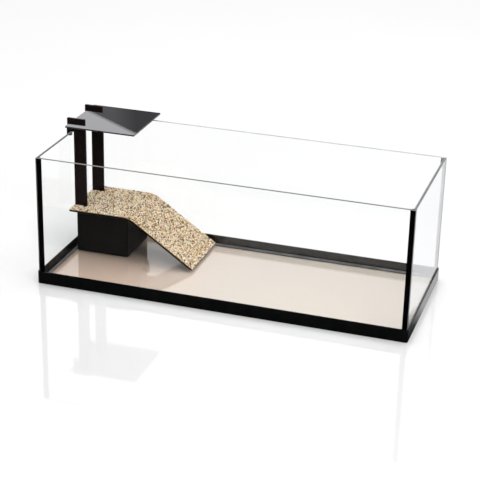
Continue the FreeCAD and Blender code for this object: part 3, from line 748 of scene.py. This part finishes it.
def make_floor():
    """A wide pale floor with a soft sheen. It looks different when it is seen in something glossy.

    Mirrors see it dim in front of the tank, as if a grey flag lay there. The base frame is nearer to it than
    FRAME_REACH, and sees it fade from black at the front of the tank to white at the back.
    """
    made = bmesh.new()
    bmesh.ops.create_grid(made, x_segments=8, y_segments=8, size=FLOOR_HALF)
    mesh = to_mesh(made, "studio_floor")
    finish = Finish("studio_floor", IOR=2.0, Specular_IOR_Level=0.5)
    clouds = finish.noise(0.4, 2)
    finish.feed(finish.ramp(clouds, [(0.3, grey(0.795)), (0.7, grey(0.81))]), "Base Color")
    finish.feed(finish.levels(clouds, 0.05, 0.06), "Roughness")
    # Rays that come off a mirror see a glow of these tones in place of the floor: painted reflections.
    mirrored = finish.over(finish.path("Glossy Depth"), 0.5)
    depth = finish.along("Y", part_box("front_pane")[0].y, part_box("back_pane")[1].y)
    far = finish.over(finish.path("Ray Length"), FRAME_REACH)
    seen = finish.mix(far, finish.ramp(depth, NEAR_TONES), finish.ramp(depth, FAR_TONES))
    finish.choose(mirrored, finish.shader.outputs[0], finish.glow(FLOOR_GLOW, seen))
    mesh.materials.append(finish.material)
    floor = put_in_scene("studio_floor", mesh)


def seen_in_plate(point, distance):
    """Where the camera's ray through a point of the shelf plate ends after it is mirrored, at a given Y."""
    mirrored = CAMERA_AT.copy()
    mirrored.z = 2 * point.z - CAMERA_AT.z
    return mirrored + (point - mirrored) * ((distance - mirrored.y) / (point.y - mirrored.y))


# How bright the tent looks, and how strongly it lights dull surfaces.
TENT_SEEN = 1.0
TENT_FILL = 0.75

# The cards stand at Y = CARDS_AT, the dark one CARD_STEP further back. They go on past both ends of the line
# between them by CARD_OVERRUN of its length. In the plate, the line ends LINE_INSET inside the front edge.
CARDS_AT = 0.6
CARD_HEIGHT = 0.12
CARD_OVERRUN = 0.7
CARD_STEP = 10 * MM
CARD_POWER = 2.0
CARD_REACH = 0.78
LINE_INSET = 5 * MM
BRIGHT_TONES = [(0.0, (0.8, 0.8, 0.825)), (1.0, (0.8, 0.8, 0.825))]
DARK_TONES = [(0.0, (0.16, 0.155, 0.175)), (0.55, (0.15, 0.147, 0.16)), (1.0, (0.075, 0.073, 0.078))]


def make_card(name, corners, start, end, tones_along):
    """A glowing card that only mirrors within CARD_REACH can see. Those further off see the tent's white.

    Its glow runs through (share of the way from X = start to X = end, colour) stops.
    """
    mesh = bpy.data.meshes.new(name)
    mesh.from_pydata(corners, [], [tuple(range(len(corners)))])
    finish = Finish(name)
    colour = finish.ramp(finish.along("X", start, end), tones_along)
    far = finish.over(finish.path("Ray Length"), CARD_REACH)
    finish.choose(far, finish.glow(CARD_POWER, colour), finish.glow(TENT_SEEN))
    mesh.materials.append(finish.material)
    card = put_in_scene(name, mesh)
    card.visible_camera = False
    card.visible_diffuse = False
    card.visible_transmission = False
    card.visible_shadow = False
    card.visible_volume_scatter = False


def make_cards():
    """A bright card over a dark one, behind the tank. They meet along the slanting line seen in the plate.

    The line is placed from the photograph's camera, so only views near it show the line in that place.
    """
    low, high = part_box("shelf_plate")
    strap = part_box("hanger_rear")[0].y
    start = seen_in_plate(Vector((low.x, strap, high.z)), CARDS_AT)
    end = seen_in_plate(Vector((high.x, low.y + LINE_INSET, high.z)), CARDS_AT)
    overrun = (end - start) * CARD_OVERRUN
    first, last = start - overrun, end + overrun
    up = Vector((0, 0, CARD_HEIGHT))
    back = Vector((0, CARD_STEP, 0))
    make_card("bright_card", [first, last, last + up, first + up], start.x, end.x, BRIGHT_TONES)
    make_card("dark_card", [first - up + back, last - up + back, last + back, first + back],
              start.x, end.x, DARK_TONES)


def add_softbox(name, place, target, size, power):
    """A square soft lamp that the camera can't see."""
    data = bpy.data.lights.new(name, "AREA")
    data.shape = "SQUARE"
    data.size = size
    data.energy = power
    lamp = put_in_scene(name, data)
    lamp.location = place
    lamp.rotation_mode = "QUATERNION"
    lamp.rotation_quaternion = (Vector(target) - Vector(place)).to_track_quat("-Z", "Y")
    lamp.visible_camera = False


def set_lights():
    """A white light tent with a large softbox overhead and a weaker one from the right.

    Its light on dull surfaces is TENT_FILL. In mirrors and behind the tank it looks as bright as TENT_SEEN.
    """
    world = bpy.data.worlds.new("tent")
    world.use_nodes = True
    tree = world.node_tree
    background = tree.nodes["Background"]
    background.inputs["Color"].default_value = (1, 1, 1, 1)
    strength = tree.nodes.new("ShaderNodeMapRange")
    strength.inputs["To Min"].default_value = TENT_SEEN
    strength.inputs["To Max"].default_value = TENT_FILL
    ray = tree.nodes.new("ShaderNodeLightPath")
    tree.links.new(ray.outputs["Is Diffuse Ray"], strength.inputs["Value"])
    tree.links.new(strength.outputs["Result"], background.inputs["Strength"])
    bpy.context.scene.world = world
    add_softbox("overhead", place=(0, 1.0, 4.0), target=(0, 0.2, 0), size=4.0, power=100)
    add_softbox("right_side", place=(1.7, -1.3, 1.8), target=(-0.1, 0, 0.1), size=1.2, power=18)
    bpy.context.scene.view_settings.view_transform = "Standard"


# ---------------------------------------------------------------- assembly

finish_cad_nodes()
make_pane("bottom_pane", GLASS, PAINTED_SHADE_EDGE)
make_pane("front_pane", QUIET_GLASS, GROUND)
make_pane("back_pane", BACK_GLASS, PAINTED_LIGHT_EDGE)
make_pane("left_pane", QUIET_GLASS, PAINTED_SHADE_EDGE)
make_pane("right_pane", SHINY_GLASS, GROUND)
make_foam_block("foam_mat", "base_mat", "tank", "mat_foam",
                cell=12 * MM, softness=0.9 * MM, roughness=0.05 * MM, gap=0.1 * MM)
make_foam_block("sponge_coarse", "coarse_sponge", "filter", "blue_sponge",
                cell=2.4 * MM, softness=1.6 * MM, roughness=0.5 * MM)
make_foam_block("sponge_fine", "fine_sponge", "filter", "white_sponge",
                cell=2.4 * MM, softness=1.2 * MM, roughness=0.3 * MM)
make_foam_block("felt_pad", "carbon_pad", "filter", "carbon_felt",
                cell=2.4 * MM, softness=1.8 * MM, roughness=0.4 * MM)
make_stones(make_gravel_bed())
make_floor()
make_cards()
set_lights()
set_camera()

bpy.context.view_layer.update()
